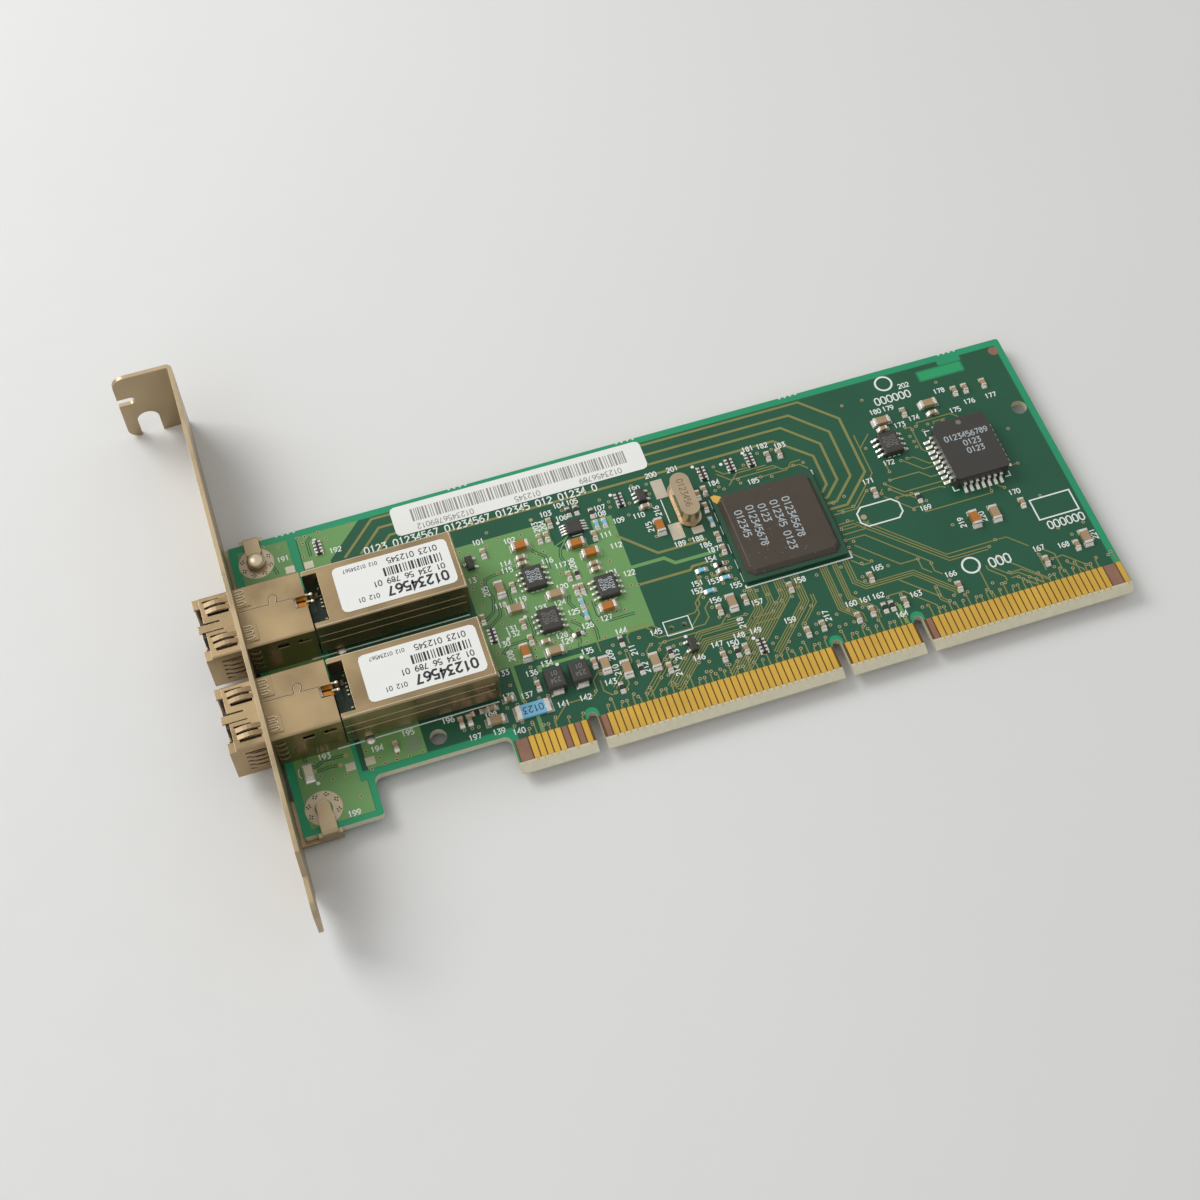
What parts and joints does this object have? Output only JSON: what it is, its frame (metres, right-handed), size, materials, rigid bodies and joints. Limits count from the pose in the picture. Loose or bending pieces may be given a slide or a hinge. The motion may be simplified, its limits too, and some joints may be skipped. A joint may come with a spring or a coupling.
{
  "type": "network interface card",
  "caption": "Fibre network expansion card lying component side up, with slot bracket, twin shielded transceivers, controller chip and keyed contact edge.",
  "frame": {"origin": "middle of the key slot nearest the bracket, on the contact edge, on the component face", "axes": "+X along the card away from the bracket, +Y from the contact edge to the top edge, +Z out of the component face"},
  "size_m": [0.1761, 0.12, 0.0184],
  "materials": {
    "green_laminate": "green solder mask over glass laminate, semi-gloss",
    "inner_laminate": "dark green solder mask, semi-gloss",
    "gold_plating": "thin hard gold plating, smooth",
    "bracket_steel": "zinc plated sheet steel, satin",
    "cage_metal": "nickel plated sheet, warm satin",
    "receptacle_plastic": "dark moulded plastic, matt",
    "white_ceramic": "white zirconia, fine satin",
    "barrel_steel": "turned stainless steel",
    "amber_film": "amber flexible circuit film",
    "chip_substrate": "green chip laminate, matt",
    "chip_resin": "black moulding resin, matt",
    "solder": "tin solder and tinned leads",
    "brown_ceramic": "brown chip ceramic, satin",
    "tan_ceramic": "tan chip ceramic, satin",
    "dark_glaze": "dark glazed film, satin",
    "blue_glaze": "blue glazed film, satin",
    "nickel_can": "drawn nickel silver can, bright satin",
    "clear_resin": "clear resin, glossy",
    "label_paper": "white coated paper label"
  },
  "bodies": {
    "root": {"circuit_board": "green_laminate", "component_contacts": "gold_plating", "solder_contacts": "gold_plating", "mounting_bracket": "bracket_steel", "controller_base": "chip_substrate", "controller_cap": "chip_resin", "controller_balls": "solder", "flash_memory": "chip_resin", "flash_leads": "solder", "small_chips": "chip_resin", "small_chip_leads": "solder", "large_brown_capacitors": "brown_ceramic", "large_tan_capacitors": "tan_ceramic", "large_capacitor_ends": "solder", "small_capacitors": "tan_ceramic", "small_capacitor_ends": "solder", "dark_resistors": "dark_glaze", "blue_resistors": "blue_glaze", "resistor_ends": "solder", "resistor_arrays": "dark_glaze", "resistor_array_ends": "solder", "sense_resistor": "blue_glaze", "sense_resistor_ends": "solder", "diodes": "chip_resin", "diode_terminals": "solder", "crystal": "nickel_can", "crystal_pads": "solder", "port_lights": "clear_resin", "port_light_bases": "solder", "board_label": "label_paper", "transceiver_cage_1": "cage_metal", "transceiver_receptacle_1": "receptacle_plastic", "ferrule_sleeves_1": "white_ceramic", "optical_barrels_1": "barrel_steel", "optical_header_1": "white_ceramic", "transceiver_can_1": "cage_metal", "transceiver_base_1": "receptacle_plastic", "transceiver_board_1": "inner_laminate", "transceiver_chips_1": "tan_ceramic", "flex_strip_1": "amber_film", "transceiver_pin_tails_1": "solder", "transceiver_label_1": "label_paper", "transceiver_cage_2": "cage_metal", "transceiver_receptacle_2": "receptacle_plastic", "ferrule_sleeves_2": "white_ceramic", "optical_barrels_2": "barrel_steel", "optical_header_2": "white_ceramic", "transceiver_can_2": "cage_metal", "transceiver_base_2": "receptacle_plastic", "transceiver_board_2": "inner_laminate", "transceiver_chips_2": "tan_ceramic", "flex_strip_2": "amber_film", "transceiver_pin_tails_2": "solder", "transceiver_label_2": "label_paper"}
  },
  "joints": []
}
